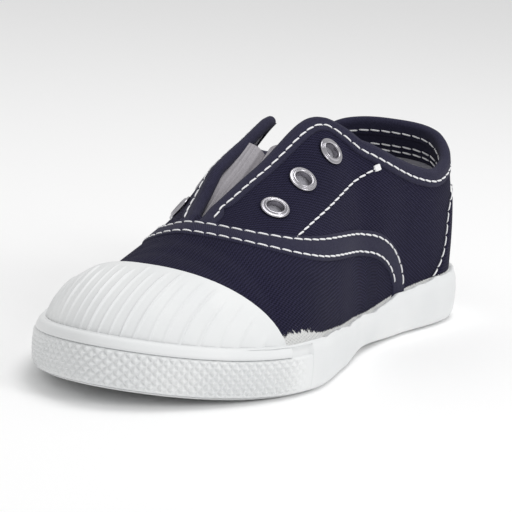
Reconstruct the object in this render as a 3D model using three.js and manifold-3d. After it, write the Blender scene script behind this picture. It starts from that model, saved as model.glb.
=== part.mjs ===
// Child's canvas slip-on sneaker, right foot: a hollow canvas upper on a rubber cup sole, with a
// rubber toe cap, a toe bumper band with a strip above it, an elastic gusset under the throat, an
// insole and three metal eyelets on each side.
// Millimetres, toe toward -Y, heel toward +Y, medial side toward +X, +Z up.
// The origin is on the floor, under the middle of the shoe.
import * as THREE from 'three';
import { mergeVertices } from 'three/addons/utils/BufferGeometryUtils.js';
import Module from 'manifold-3d';

const wasm = await Module();
wasm.setup();

// ---------- driving dimensions ----------
const length = 172; // outsole, toe to heel
const gap = 0.3; // between pieces that touch
const canvas = 2; // upper wall, canvas and lining together
const soleThickness = 5; // tread to the floor of the cup
const toeSpring = 4.5; // lift of the sole under the toe tip
const springShare = 0.27; // share of the length over which the toe lifts
const archHeight = 1; // lift of the sole under the waist
const archCentre = 0.58;
const archReach = 0.13;
const toeRound = { medial: 1.8, lateral: 1.85 }; // superellipse powers of the toe outline
const toeShare = { medial: 0.31, lateral: 0.4 }; // each side's toe outline starts at its ball
const toeTip = 5; // the toe tip's shift toward the medial side
const heelRound = 2.7;
const heelShare = 0.84; // the heel outline starts here
const capRound = 2.3; // power of the toe's rise in side view
const capShare = 0.2;
const heelLean = 3; // how far the heel's top leans forward
const heelBulge = 20; // height where the heel stands furthest back
const leanHeight = 32;
const leanStart = 0.65;
const capThickness = 1.2;
const capRear = { middle: -59, side: 13, reach: 32 }; // rear edge of the toe cap, an arc in plan
const bumper = { low: 1.4, high: 9.6, depth: 1.5, end: 0.285 };
const strip = { low: 9.9, high: 12.1, depth: 1.8, end: 0.24, proud: 0.3 };
const gusset = { thickness: 1, halfWidth: 7.6, front: -32, rear: 4, dip: 5 };
const insole = { thickness: 3 };
const eyelet = { flange: 3.75, hole: 2.15, barrel: 2.55, lip: 0.9, washer: 3.3 };
// Each pair of eyelets: place along the shoe, and distance to each side of the throat's centre line
const eyeletRows = [
  { y: -16.5, medial: 14, lateral: 12.5 },
  { y: -2.5, medial: 14, lateral: 14 },
  { y: 12, medial: 14, lateral: 15.5 },
];

// Sole half widths, the upper's top line and the rubber's height, by share of the length from the toe.
// foxing: rubber outside the upper; crown: sideways place of the top line; full and steep: power of the
// arch on the medial and the lateral side
const stations = [
  {
    along: 0.0, medial: 39, lateral: 34.5, foxing: 3.5, ridge: 27,
    crown: 1.5, full: 2.3, steep: 2.3, wall: 12
  },
  {
    along: 0.1, medial: 39, lateral: 34.5, foxing: 3.5, ridge: 28,
    crown: 1.5, full: 2.3, steep: 2.3, wall: 12
  },
  {
    along: 0.2, medial: 39, lateral: 34.5, foxing: 3.5, ridge: 30,
    crown: 1.5, full: 2.3, steep: 1.7, wall: 12.5
  },
  {
    along: 0.3, medial: 39, lateral: 34, foxing: 3, ridge: 35,
    crown: 1, full: 2.2, steep: 1.5, wall: 13
  },
  {
    along: 0.45, medial: 34, lateral: 34, foxing: 2.5, ridge: 46.5,
    crown: 0.5, full: 2.1, steep: 1.4, wall: 11
  },
  {
    along: 0.6, medial: 28, lateral: 32.5, foxing: 2.5, ridge: 62,
    crown: 0, full: 2, steep: 1.4, wall: 8.5
  },
  {
    along: 0.72, medial: 27, lateral: 29, foxing: 2.5, ridge: 66,
    crown: 0, full: 3, steep: 2.3, wall: 11.5
  },
  {
    along: 0.85, medial: 28.5, lateral: 27, foxing: 2.5, ridge: 66,
    crown: 0, full: 3.5, steep: 3.3, wall: 13.5
  },
  {
    along: 1.0, medial: 28.5, lateral: 27, foxing: 2.5, ridge: 66,
    crown: 1, full: 3.5, steep: 3.5, wall: 14
  },
];
// Outside of the rubber wall, tread edge to top edge: share of the wall's height, and inset
const wallProfile = [
  { rise: 0.0, inset: 2.2 },
  { rise: 0.06, inset: 0.8 },
  { rise: 0.2, inset: 0.2 },
  { rise: 0.5, inset: 0.0 },
  { rise: 0.82, inset: 0.3 },
  { rise: 1.0, inset: 1.0 },
];
// Edges of the throat's slit, as distances to each side of its centre line, flaring at the flap tips
const throatRows = [
  { y: -28, medial: -0.5, lateral: 1.5 },
  { y: -26, medial: 0, lateral: 2.5 },
  { y: -20, medial: 1, lateral: 4 },
  { y: 0, medial: 4, lateral: 5.5 },
  { y: 12, medial: 6, lateral: 6.5 },
  { y: 18, medial: 8.5, lateral: 7.5 },
  { y: 22, medial: 12.5, lateral: 11 },
  { y: 26, medial: 16.5, lateral: 15.5 },
  { y: 30, medial: 18, lateral: 17.5 },
];
// Height of the collar's edge along the shoe, on each side
const collarRows = [
  { y: 20, medial: 59, lateral: 59 },
  { y: 27, medial: 53, lateral: 51 },
  { y: 33, medial: 50, lateral: 47 },
  { y: 40, medial: 47, lateral: 44 },
  { y: 48, medial: 44.5, lateral: 42.5 },
  { y: 57, medial: 43, lateral: 42 },
  { y: 65, medial: 44.5, lateral: 43.5 },
  { y: 72, medial: 47.5, lateral: 47.5 },
  { y: 78, medial: 51, lateral: 51 },
  { y: 84, medial: 52.5, lateral: 52.5 },
];

const lengthSteps = 42;
const archSteps = 20;
const roundSteps = 16; // around an eyelet

// Monotone cubic through the rows of a table, read at one place
function curve(rows, key, value, at) {
  let i = 0;
  while (i < rows.length - 2 && at > rows[i + 1][key]) i++;
  const slope = (k) => (rows[k + 1][value] - rows[k][value]) / (rows[k + 1][key] - rows[k][key]);
  const tangent = (k) => {
    if (k === 0 || k === rows.length - 1) return 0;
    const before = slope(k - 1);
    const after = slope(k);
    return before * after <= 0 ? 0 : (2 * before * after) / (before + after);
  };
  const span = rows[i + 1][key] - rows[i][key];
  const s = THREE.MathUtils.clamp((at - rows[i][key]) / span, 0, 1);
  const a = rows[i][value];
  const b = rows[i + 1][value];
  return (
    a * (1 + 2 * s) * (1 - s) ** 2 +
    b * s * s * (3 - 2 * s) +
    tangent(i) * span * s * (1 - s) ** 2 -
    tangent(i + 1) * span * s * s * (1 - s)
  );
}
const station = (value, t) => curve(stations, 'along', value, t);

// ---------- the last ----------
const alongAt = (u) => (1 - Math.cos(Math.PI * u)) / 2;
const stepAt = (t) => Math.acos(1 - 2 * t) / Math.PI;
const roundOff = (s, power) => Math.max(0, 1 - Math.abs(s) ** power) ** (1 / power);

// Share of the half width that is left near the toe and the heel
function endShare(t, side) {
  const name = side > 0 ? 'medial' : 'lateral';
  if (t < toeShare[name]) return roundOff(1 - t / toeShare[name], toeRound[name]);
  return t > heelShare ? roundOff((t - heelShare) / (1 - heelShare), heelRound) : 1;
}
function soleBottom(t) {
  const spring = Math.max(0, 1 - t / springShare) ** 2 * toeSpring;
  const arch = Math.max(0, 1 - ((t - archCentre) / archReach) ** 2) ** 2 * archHeight;
  return spring + arch;
}
const tipShift = (t) => toeTip * Math.max(0, 1 - t / toeShare.medial) ** 2;
const halfWidth = (t, side) => station(side > 0 ? 'medial' : 'lateral', t) - side * tipShift(t);
const widest = (side) => Math.max(...stations.map((row) => row[side]));
const spineX = (widest('lateral') - widest('medial')) / 2; // keeps the shoe's box about the origin

// A point of the rubber's outline, drawn in from its edge
function outlinePoint(u, side, inset, z) {
  const t = alongAt(u);
  const x = side * (halfWidth(t, side) - inset) * endShare(t, side);
  return [spineX + tipShift(t) + x, -(length / 2 - inset) * Math.cos(Math.PI * u), z];
}

// A point of the upper's surface: u from toe to heel, v over the top from the medial edge to the
// lateral edge, moved out by offset
function upperPoint(u, v, offset) {
  const t = alongAt(u);
  const edge = offset - station('foxing', t);
  const low = soleBottom(t) + soleThickness;
  const capEnd = t < capShare ? roundOff(1 - t / capShare, capRound) : 1;
  const rise = (station('ridge', t) - low + offset) * capEnd;
  const cos = Math.cos(Math.PI * v);
  const side = cos >= 0 ? 1 : -1;
  const power = 2 / station(side > 0 ? 'full' : 'steep', t);
  const crown = station('crown', t) * endShare(t, 1);
  const reach = (halfWidth(t, side) + edge) * endShare(t, side) - side * crown;
  const z = low + rise * Math.sin(Math.PI * v) ** power;
  const lean = heelLean * THREE.MathUtils.smoothstep(t, leanStart, 1) * ((z - heelBulge) / leanHeight) ** 2;
  const y = -(length / 2 + edge) * Math.cos(Math.PI * u) - lean;
  return [spineX + tipShift(t) + crown + side * reach * Math.abs(cos) ** power, y, z];
}

// The station whose section of the upper lies at y
const stepAtY = (y) => stepAt(0.5 + y / (length - 2 * station('foxing', 0.5 + y / length)));

// Share of the way over the top where the upper reaches the place x
function roundAt(u, x) {
  let [before, after] = [0, 1];
  while (after - before > 1e-6) {
    const middle = (before + after) / 2;
    if (upperPoint(u, middle, 0)[0] > x) before = middle;
    else after = middle;
  }
  return before;
}

// ---------- solids ----------
function solidFromGeometry(geometry) {
  const bare = geometry.clone();
  for (const name of Object.keys(bare.attributes)) {
    if (name !== 'position') bare.deleteAttribute(name);
  }
  const merged = mergeVertices(bare, 1e-4);
  const triangles = [];
  for (let i = 0; i < merged.index.count; i += 3) {
    const [a, b, c] = [0, 1, 2].map((k) => merged.index.getX(i + k));
    if (a !== b && b !== c && c !== a) triangles.push(a, b, c);
  }
  const vertProperties = new Float32Array(merged.attributes.position.array);
  const triVerts = new Uint32Array(triangles);
  return new wasm.Manifold(new wasm.Mesh({ numProp: 3, vertProperties, triVerts }));
}

// Closed loft through rings of points; the first and last rings are capped when they are open
function loft(rings, capped) {
  const count = rings[0].length;
  const index = [];
  const at = (i, j) => i * count + (j % count);
  for (let i = 0; i < rings.length - 1; i++) {
    for (let j = 0; j < count; j++) {
      index.push(at(i, j), at(i + 1, j), at(i + 1, j + 1), at(i, j), at(i + 1, j + 1), at(i, j + 1));
    }
  }
  if (capped) {
    const last = rings.length - 1;
    for (let j = 1; j < count - 1; j++) {
      index.push(at(0, 0), at(0, j), at(0, j + 1), at(last, 0), at(last, j + 1), at(last, j));
    }
  }
  const geometry = new THREE.BufferGeometry();
  geometry.setAttribute('position', new THREE.Float32BufferAttribute(rings.flat(2), 3));
  geometry.setIndex(index);
  const made = solidFromGeometry(geometry);
  if (made.volume() > 0) return made;
  const flipped = [];
  for (let i = 0; i < index.length; i += 3) flipped.push(index[i], index[i + 2], index[i + 1]);
  geometry.setIndex(flipped);
  return solidFromGeometry(geometry);
}

// The whole upper form, moved out by offset and carried down below its edge
function upperForm(offset, down) {
  const rings = [];
  for (let i = 0; i <= lengthSteps; i++) {
    const u = i / lengthSteps;
    const ring = [];
    for (let j = 0; j <= archSteps; j++) ring.push(upperPoint(u, j / archSteps, offset));
    const [medial, lateral] = [ring[0], ring[archSteps]];
    ring.push([lateral[0], lateral[1], lateral[2] - down], [medial[0], medial[1], medial[2] - down]);
    rings.push(ring);
  }
  return loft(rings, false);
}

// A slab with the shoe's outline drawn in by inset, between two heights that may vary along it
function outlineSlab(inset, lowAt, highAt) {
  const rings = [];
  for (let i = 0; i <= lengthSteps; i++) {
    const u = i / lengthSteps;
    const t = alongAt(u);
    rings.push([
      outlinePoint(u, 1, inset, highAt(t)),
      outlinePoint(u, 1, inset, lowAt(t)),
      outlinePoint(u, -1, inset, lowAt(t)),
      outlinePoint(u, -1, inset, highAt(t)),
    ]);
  }
  return loft(rings, false);
}

const wallInset = (rise) => curve(wallProfile, 'rise', 'inset', rise);

// A band around the toe, back to the share `end` on both sides, following the rubber wall's
// outside and drawn in to depth; heights are above the sole's bottom
function toeBand({ low, high, depth, end, proud = 0 }, grow = 0) {
  const steps = Math.round(stepAt(end) * lengthSteps);
  const stops = [];
  for (let i = steps; i > 0; i--) stops.push({ u: i / lengthSteps, side: -1 });
  for (let i = 0; i <= steps; i++) stops.push({ u: i / lengthSteps, side: 1 });
  if (grow) {
    stops[0].u += grow / length;
    stops[stops.length - 1].u += grow / length;
  }
  const heights = [0, 0.25, 0.5, 0.75, 1].map((s) => THREE.MathUtils.lerp(low - grow, high + grow, s));
  const rings = stops.map(({ u, side }) => {
    const t = alongAt(u);
    const outside = heights.map((z) => {
      const inset = grow ? -3 : wallInset(z / station('wall', t)) - proud;
      return outlinePoint(u, side, inset, soleBottom(t) + z);
    });
    const inside = [high + grow, low - grow].map((z) => {
      return outlinePoint(u, side, depth + grow, soleBottom(t) + z);
    });
    return [...outside, ...inside];
  });
  return loft(rings, true);
}

// A vertical prism with the outline of a shape drawn in plan
function planPrism(points, low, high) {
  const shape = new THREE.Shape(points.map(([x, y]) => new THREE.Vector2(x, y)));
  const geometry = new THREE.ExtrudeGeometry(shape, { depth: high - low, bevelEnabled: false });
  return solidFromGeometry(geometry.translate(0, 0, low));
}

// A prism across the shoe, from one x to another, with an outline in side view as pairs of y and z
function sidePrism(points, from, to) {
  const shape = new THREE.Shape(points.map(([y, z]) => new THREE.Vector2(y, z)));
  const geometry = new THREE.ExtrudeGeometry(shape, { depth: to - from, bevelEnabled: false });
  geometry.translate(0, 0, from);
  geometry.applyMatrix4(new THREE.Matrix4().set(0, 0, 1, 0, 1, 0, 0, 0, 0, 1, 0, 0, 0, 0, 0, 1));
  return solidFromGeometry(geometry);
}

const sampleRows = (rows, key, value, steps) => {
  const [from, to] = [rows[0][key], rows[rows.length - 1][key]];
  return Array.from({ length: steps + 1 }, (_, i) => {
    const at = from + ((to - from) * i) / steps;
    return [at, curve(rows, key, value, at)];
  });
};

// ---------- cutters ----------
const farOut = 120; // well past the shoe on any side
const crownX = spineX + 0.5; // the throat's centre line

function throatCutter() {
  const medial = sampleRows(throatRows, 'y', 'medial', 24).map(([y, out]) => [crownX + out, y]);
  const lateral = sampleRows(throatRows, 'y', 'lateral', 24).map(([y, out]) => [crownX - out, y]);
  return planPrism([...medial, ...lateral.reverse()], 25, farOut);
}
function collarCutter() {
  const above = (side, from, to) => {
    const edge = sampleRows(collarRows, 'y', side, 26);
    const back = [farOut, edge[edge.length - 1][1]];
    return sidePrism([[edge[0][0], farOut], ...edge, back, [farOut, farOut]], from, to);
  };
  return above('medial', spineX, farOut).add(above('lateral', -farOut, spineX));
}

// ---------- pieces ----------
const outerUpper = upperForm(0, 0);
const soleCup = upperForm(gap, gap);

function makeUpper() {
  const inner = upperForm(-canvas, canvas);
  let upper = outerUpper.subtract(inner).subtract(throatCutter()).subtract(collarCutter());
  for (const { matrix } of eyeletPlaces()) {
    const drill = new THREE.CylinderGeometry(eyelet.barrel + gap, eyelet.barrel + gap, 12, roundSteps);
    upper = upper.subtract(solidFromGeometry(drill.applyMatrix4(matrix)));
  }
  return upper;
}

function makeOutsole() {
  const rings = [];
  for (let i = 0; i <= lengthSteps; i++) {
    const u = i / lengthSteps;
    const t = alongAt(u);
    const wall = station('wall', t);
    const side = (sign) =>
      wallProfile.map(({ rise, inset }) => outlinePoint(u, sign, inset, soleBottom(t) + rise * wall));
    rings.push([...side(1).reverse(), ...side(-1)]);
  }
  const bands = toeBand(bumper, gap).add(toeBand(strip, gap));
  return loft(rings, false).subtract(soleCup).subtract(bands);
}

// The toe cap lies on the canvas, from the top of the rubber wall back to an arc across the toe
function makeToeCap() {
  const shell = upperForm(gap + capThickness, 0).subtract(upperForm(gap, gap));
  const rim = wallProfile[wallProfile.length - 1].inset;
  const wall = outlineSlab(rim, () => -5, (t) => soleBottom(t) + station('wall', t) + gap);
  const arc = [];
  for (let i = -12; i <= 12; i++) {
    const x = (i / 12) * 48;
    arc.push([spineX + x, capRear.middle + capRear.side * (x / capRear.reach) ** 2]);
  }
  const rear = planPrism([...arc, [farOut, farOut], [-farOut, farOut]], -5, farOut);
  return shell.subtract(wall).subtract(rear);
}

function makeInsole() {
  const floor = (t) => soleBottom(t) + soleThickness;
  const slab = outlineSlab(0, (t) => floor(t) + gap, (t) => floor(t) + gap + insole.thickness);
  return upperForm(-canvas - gap, canvas).intersect(slab);
}

// The gusset follows the inside of the flaps, with its rear edge dipped between them
function makeGusset() {
  const top = upperForm(-canvas - gap, canvas);
  const shell = top.subtract(upperForm(-canvas - gap - gusset.thickness, canvas + 5));
  const rear = [];
  for (let i = 8; i >= -8; i--) {
    const share = i / 8;
    rear.push([crownX + share * gusset.halfWidth, gusset.rear - gusset.dip * (1 - share * share)]);
  }
  const front = [
    [crownX - gusset.halfWidth, gusset.front + 6],
    [crownX - gusset.halfWidth / 2, gusset.front],
    [crownX + gusset.halfWidth / 2, gusset.front],
    [crownX + gusset.halfWidth, gusset.front + 6],
  ];
  return shell.intersect(planPrism([...rear, ...front], 25, farOut));
}

// Each eyelet's axis is the surface's normal; local +Y points out of the shoe
function eyeletPlaces() {
  const places = [];
  for (const side of ['medial', 'lateral']) {
    eyeletRows.forEach((row, i) => {
      const u = stepAtY(row.y);
      const v = roundAt(u, crownX + (side === 'medial' ? row.medial : -row.lateral));
      const [centre, ahead, over] = [[u, v], [u + 0.01, v], [u, v + 0.01]].map(
        ([a, b]) => new THREE.Vector3(...upperPoint(a, b, 0)),
      );
      const normal = ahead.sub(centre).cross(over.sub(centre)).normalize();
      if (normal.z < 0) normal.negate();
      const turn = new THREE.Quaternion().setFromUnitVectors(new THREE.Vector3(0, 1, 0), normal);
      const matrix = new THREE.Matrix4().compose(centre, turn, new THREE.Vector3(1, 1, 1));
      places.push({ name: `eyelet_${side}_${i + 1}`, matrix });
    });
  }
  return places;
}
function makeEyelet(matrix) {
  const { flange, hole, barrel, lip, washer } = eyelet;
  const outside = gap + 0.1;
  const inside = -canvas - gap - 0.4;
  const profile = [
    [hole + 0.3, outside + lip],
    [flange - 0.7, outside + lip],
    [flange, outside],
    [barrel, outside],
    [barrel, inside],
    [washer, inside],
    [washer, inside - 0.4],
    [hole, inside - 0.4],
  ];
  const points = [...profile, profile[0]].map(([r, y]) => new THREE.Vector2(r, y)).reverse();
  return solidFromGeometry(new THREE.LatheGeometry(points, roundSteps).applyMatrix4(matrix));
}

// ---------- materials ----------
const white = 0xe4e4e4;
const rubber = (colour) => new THREE.MeshStandardMaterial({ color: colour, roughness: 0.55, metalness: 0 });
const cloth = (colour) => new THREE.MeshStandardMaterial({ color: colour, roughness: 0.95, metalness: 0 });
const nickel = () => new THREE.MeshStandardMaterial({ color: 0xb4b3b8, roughness: 0.25, metalness: 1 });

// ---------- assembly ----------
function makeMesh(name, made, material) {
  if (made.volume() < 0) throw new Error(`${name} is inside out`);
  const { vertProperties, triVerts } = made.getMesh();
  const geometry = new THREE.BufferGeometry();
  geometry.setAttribute('position', new THREE.Float32BufferAttribute(vertProperties, 3));
  geometry.setIndex(Array.from(triVerts));
  geometry.computeVertexNormals();
  const mesh = new THREE.Mesh(geometry, material);
  mesh.name = name;
  return mesh;
}

const sneaker = new THREE.Group();
sneaker.add(
  makeMesh('outsole', makeOutsole(), rubber(white)),
  makeMesh('toe_bumper', toeBand(bumper), rubber(white)),
  makeMesh('toe_strip', toeBand(strip), rubber(white)),
  makeMesh('toe_cap', makeToeCap(), rubber(white)),
  makeMesh('upper', makeUpper(), cloth(0x2b2a3c)),
  makeMesh('gusset', makeGusset(), cloth(0x8a8588)),
  makeMesh('insole', makeInsole(), cloth(0xa5a4aa)),
);
for (const { name, matrix } of eyeletPlaces()) {
  sneaker.add(makeMesh(name, makeEyelet(matrix), nickel()));
}

export default sneaker;
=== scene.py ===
import math

import bmesh
import bpy
import numpy as np
from mathutils import Matrix, Vector


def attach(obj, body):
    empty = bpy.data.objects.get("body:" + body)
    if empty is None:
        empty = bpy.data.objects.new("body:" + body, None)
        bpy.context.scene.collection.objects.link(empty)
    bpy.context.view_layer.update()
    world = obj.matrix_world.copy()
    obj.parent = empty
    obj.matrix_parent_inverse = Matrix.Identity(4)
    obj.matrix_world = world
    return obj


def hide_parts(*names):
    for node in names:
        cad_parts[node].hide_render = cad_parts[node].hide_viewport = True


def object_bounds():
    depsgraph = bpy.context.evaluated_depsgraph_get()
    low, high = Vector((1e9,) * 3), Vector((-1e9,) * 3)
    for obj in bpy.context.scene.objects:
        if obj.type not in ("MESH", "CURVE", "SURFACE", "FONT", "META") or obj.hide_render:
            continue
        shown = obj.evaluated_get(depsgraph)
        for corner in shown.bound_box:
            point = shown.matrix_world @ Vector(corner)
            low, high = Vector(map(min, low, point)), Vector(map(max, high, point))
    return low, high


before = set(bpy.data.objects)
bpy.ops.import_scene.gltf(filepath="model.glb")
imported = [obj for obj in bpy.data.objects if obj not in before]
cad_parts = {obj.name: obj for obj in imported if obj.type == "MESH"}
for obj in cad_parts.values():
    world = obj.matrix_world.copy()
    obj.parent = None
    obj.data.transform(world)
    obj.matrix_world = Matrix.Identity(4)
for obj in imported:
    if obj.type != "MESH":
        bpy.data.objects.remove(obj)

boxLow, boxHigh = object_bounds()
mm = 0.001
farAway = 999
print("frame loaded")

# The last. Lengths are in millimetres, toe toward -Y, medial side toward +X.
last = {
    "length": (boxHigh.y - boxLow.y) / mm,
    "soleThickness": 5,
    "toeSpring": 4.5,
    "springShare": 0.27,
    "archHeight": 1,
    "archCentre": 0.58,
    "archReach": 0.13,
    "toeTip": 5,
    "toeRound": {1: 1.8, -1: 1.85},
    "toeShare": {1: 0.31, -1: 0.4},
    "heelRound": 2.7,
    "heelShare": 0.84,
    "capRound": 2.3,
    "capShare": 0.2,
    "heelLean": 3,
    "heelBulge": 20,
    "leanHeight": 32,
    "leanStart": 0.65,
    "spine": -2.25,
}
# One row a station, from the toe (0) to the heel (1)
stationNames = ("along", "medial", "lateral", "foxing", "ridge", "crown", "full", "steep", "wall")
stationRows = [
    (0.00, 39, 34.5, 3.5, 27, 1.5, 2.3, 2.3, 12),
    (0.10, 39, 34.5, 3.5, 28, 1.5, 2.3, 2.3, 12),
    (0.20, 39, 34.5, 3.5, 30, 1.5, 2.3, 1.7, 12.5),
    (0.30, 39, 34, 3, 35, 1, 2.2, 1.5, 13),
    (0.45, 34, 34, 2.5, 46.5, 0.5, 2.1, 1.4, 11),
    (0.60, 28, 32.5, 2.5, 62, 0, 2, 1.4, 8.5),
    (0.72, 27, 29, 2.5, 66, 0, 3, 2.3, 11.5),
    (0.85, 28.5, 27, 2.5, 66, 0, 3.5, 3.3, 13.5),
    (1.00, 28.5, 27, 2.5, 66, 1, 3.5, 3.5, 14),
]
stations = {name: [row[i] for row in stationRows] for i, name in enumerate(stationNames)}
# Outside of the rubber wall, by share of its height
wallProfile = {
    "rise": [0, 0.06, 0.2, 0.5, 0.82, 1],
    "inset": [2.2, 0.8, 0.2, 0, 0.3, 1],
}
# Edges of the throat's slit, as distances to each side of its middle
throat = {
    "y": [-28, -26, -20, 0, 12, 18, 22, 26, 30],
    "medial": [-0.5, 0, 1, 4, 6, 8.5, 12.5, 16.5, 18],
    "lateral": [1.5, 2.5, 4, 5.5, 6.5, 7.5, 11, 15.5, 17.5],
    "centre": -1.75,
}
# Height of the collar's edge on each side
collar = {
    "y": [20, 27, 33, 40, 48, 57, 65, 72, 78, 84],
    "medial": [59, 53, 50, 47, 44.5, 43, 44.5, 47.5, 51, 52.5],
    "lateral": [59, 51, 47, 44, 42.5, 42, 43.5, 47.5, 51, 52.5],
}


def curve(keys, values, at):  # monotone cubic through a table's rows
    keys, values = np.asarray(keys, float), np.asarray(values, float)
    at = np.clip(at, keys[0], keys[-1])
    slope = np.diff(values) / np.diff(keys)
    tangent = np.zeros(len(keys))
    before, after = slope[:-1], slope[1:]
    same = before * after > 0
    tangent[1:-1][same] = 2 * before[same] * after[same] / (before[same] + after[same])
    i = np.clip(np.searchsorted(keys, at, side="right") - 1, 0, len(keys) - 2)
    span = keys[i + 1] - keys[i]
    s = (at - keys[i]) / span
    fromEnds = values[i] * (1 + 2 * s) * (1 - s) ** 2 + values[i + 1] * s * s * (3 - 2 * s)
    return fromEnds + span * s * (1 - s) * (tangent[i] * (1 - s) - tangent[i + 1] * s)


def station(name, t):
    return curve(stations["along"], stations[name], t)


def alongAt(u):
    return (1 - np.cos(np.pi * u)) / 2


def stepAt(t):
    return np.arccos(1 - 2 * np.asarray(t, float)) / np.pi


def roundOff(s, power):
    return np.maximum(0, 1 - np.abs(s) ** power) ** (1 / power)


def ease(x, low, high):
    s = np.clip((x - low) / (high - low), 0, 1)
    return s * s * (3 - 2 * s)


def bump(x, centre, reach):  # soft hill of height 1
    return np.exp(-(((x - centre) / reach) ** 2))


def together(*parts):  # coordinates of one shape joined into points
    return np.stack(np.broadcast_arrays(*parts), -1)


def runAlong(points):  # length from a line's start to each of its points; a grid holds a line a row
    steps = np.linalg.norm(np.diff(points, axis=-2), axis=-1)
    return np.concatenate([np.zeros((*steps.shape[:-1], 1)), np.cumsum(steps, axis=-1)], -1)


def endShare(t, side):
    share, power = last["toeShare"][side], last["toeRound"][side]
    toe = np.where(t < share, roundOff(1 - t / share, power), 1)
    heelPlace = (t - last["heelShare"]) / (1 - last["heelShare"])
    heel = np.where(t > last["heelShare"], roundOff(np.maximum(heelPlace, 0), last["heelRound"]), 1)
    return toe * heel


def soleBottom(t):
    spring = np.maximum(0, 1 - t / last["springShare"]) ** 2 * last["toeSpring"]
    arch = np.maximum(0, 1 - ((t - last["archCentre"]) / last["archReach"]) ** 2) ** 2
    return spring + arch * last["archHeight"]


def tipShift(t):
    return last["toeTip"] * np.maximum(0, 1 - t / last["toeShare"][1]) ** 2


def halfWidth(t, side):
    return station("medial" if side > 0 else "lateral", t) - side * tipShift(t)


def outlinePoint(u, side, inset, z):
    t = alongAt(u)
    x = last["spine"] + tipShift(t) + side * (halfWidth(t, side) - inset) * endShare(t, side)
    return together(x, -(last["length"] / 2 - inset) * np.cos(np.pi * u), z)


def section(t, lift):  # a section's crown, its reach to each side of that, and the half length there
    edge = lift - station("foxing", t)
    crown = station("crown", t) * endShare(t, 1)
    medial = (halfWidth(t, 1) + edge) * endShare(t, 1) - crown
    lateral = (halfWidth(t, -1) + edge) * endShare(t, -1) + crown
    return last["spine"] + tipShift(t) + crown, medial, lateral, last["length"] / 2 + edge


def upperPoint(u, v, lift=0):
    t = alongAt(u)
    base, medial, lateral, halfLength = section(t, lift)
    low = soleBottom(t) + last["soleThickness"]
    capEnd = np.where(t < last["capShare"], roundOff(1 - t / last["capShare"], last["capRound"]), 1)
    rise = (station("ridge", t) - low + lift) * capEnd
    cos, sin = np.cos(np.pi * v), np.maximum(np.sin(np.pi * v), 0)
    power = 2 / np.where(cos >= 0, station("full", t), station("steep", t))
    x = base + np.where(cos >= 0, medial, -lateral) * np.abs(cos) ** power
    z = low + rise * sin ** power
    lean = last["heelLean"] * ease(t, last["leanStart"], 1)
    lean = lean * ((z - last["heelBulge"]) / last["leanHeight"]) ** 2
    return together(x, -halfLength * np.cos(np.pi * u) - lean, z)


def stepAtY(y):  # the station whose section of the upper lies at y
    y = np.asarray(y, float)
    return stepAt(0.5 + y / (last["length"] - 2 * station("foxing", 0.5 + y / last["length"])))


def roundAt(u, x, lift=0):  # share of the way over the top where the upper reaches the place x
    t = alongAt(u)
    base, medial, lateral, _ = section(t, lift)
    away = x - base
    power = np.where(away >= 0, station("full", t), station("steep", t)) / 2
    cos = np.clip(np.abs(away) / np.where(away >= 0, medial, lateral), 0, 1) ** power
    return np.arccos(np.where(away >= 0, cos, -cos)) / np.pi


def roundAtHeight(u, z, side):  # share of the way over the top where one side reaches a height
    t = alongAt(u)
    low = soleBottom(t) + last["soleThickness"]
    share = np.clip((z - low) / (station("ridge", t) - low), 0, 1)
    v = np.arcsin(share ** (station("full" if side > 0 else "steep", t) / 2)) / np.pi
    return v if side > 0 else 1 - v


def slitHalf(y, side):  # from the throat's middle to its edge, on the side of each point
    medial, lateral = (curve(throat["y"], throat[name], y) for name in ("medial", "lateral"))
    return np.where(side > 0, medial, lateral)


# Soft troughs and ridges of worn-in cloth, as a lift off the last
relief = {
    "flapY": [-34, -27, -20, -15, -10, -5, 0, 5, 12, 20],
    "flapLift": [0, 0.4, 1.3, 2.8, 4.2, 3.8, 2.6, 1.1, 0.1, 0],
    "flapReach": 7.5, "flapFront": -27, "flapFade": 3,
    "nearFlap": 0.5, "nearPlace": -12, "nearReach": 12,
    "creases": [(-47, 0.22), (-39.5, 0.28)],  # y and depth
    "creaseWidth": 2.2, "creaseBend": 0.0035, "creaseHeights": (14, 22),
    "waistHollow": 0.45, "waistAlong": (12, 20), "waistHeight": (20, 9),  # centre and reach
    "ripple": 0.08, "rippleFade": (-44, -20),
}


def clothLift(u, v):
    p = upperPoint(u, v)
    x, y, z = p[..., 0] - throat["centre"], p[..., 1], p[..., 2]
    past = np.maximum(np.abs(x) - slitHalf(y, np.sign(x)), 0) / relief["flapReach"]
    far = curve(relief["flapY"], relief["flapLift"], y) * np.exp(-past ** 2)
    near = relief["nearFlap"] * np.exp(-past ** 2) * bump(y, relief["nearPlace"], relief["nearReach"])
    flap = np.where(x < 0, far, near)
    flap = flap * np.where(y < relief["flapFront"], ease(-x, 0, relief["flapFade"]), 1)
    bent = y + relief["creaseBend"] * x * x
    creases = sum(-depth * bump(bent, place, relief["creaseWidth"]) for place, depth in relief["creases"])
    hollow = -relief["waistHollow"] * bump(y, *relief["waistAlong"]) * bump(z, *relief["waistHeight"])
    ripple = np.sin(y / 6.1 + 0.5) * np.sin(z / 7.3 + y / 23) + 0.6 * np.sin(y / 3.7 - z / 5.1)
    ripple = relief["ripple"] * ripple * ease(y, *relief["rippleFade"])
    return flap + creases * ease(z, *relief["creaseHeights"]) + hollow + ripple


def cloth(u, v, lift=0):
    return upperPoint(u, v, lift + clothLift(u, v))


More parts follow.
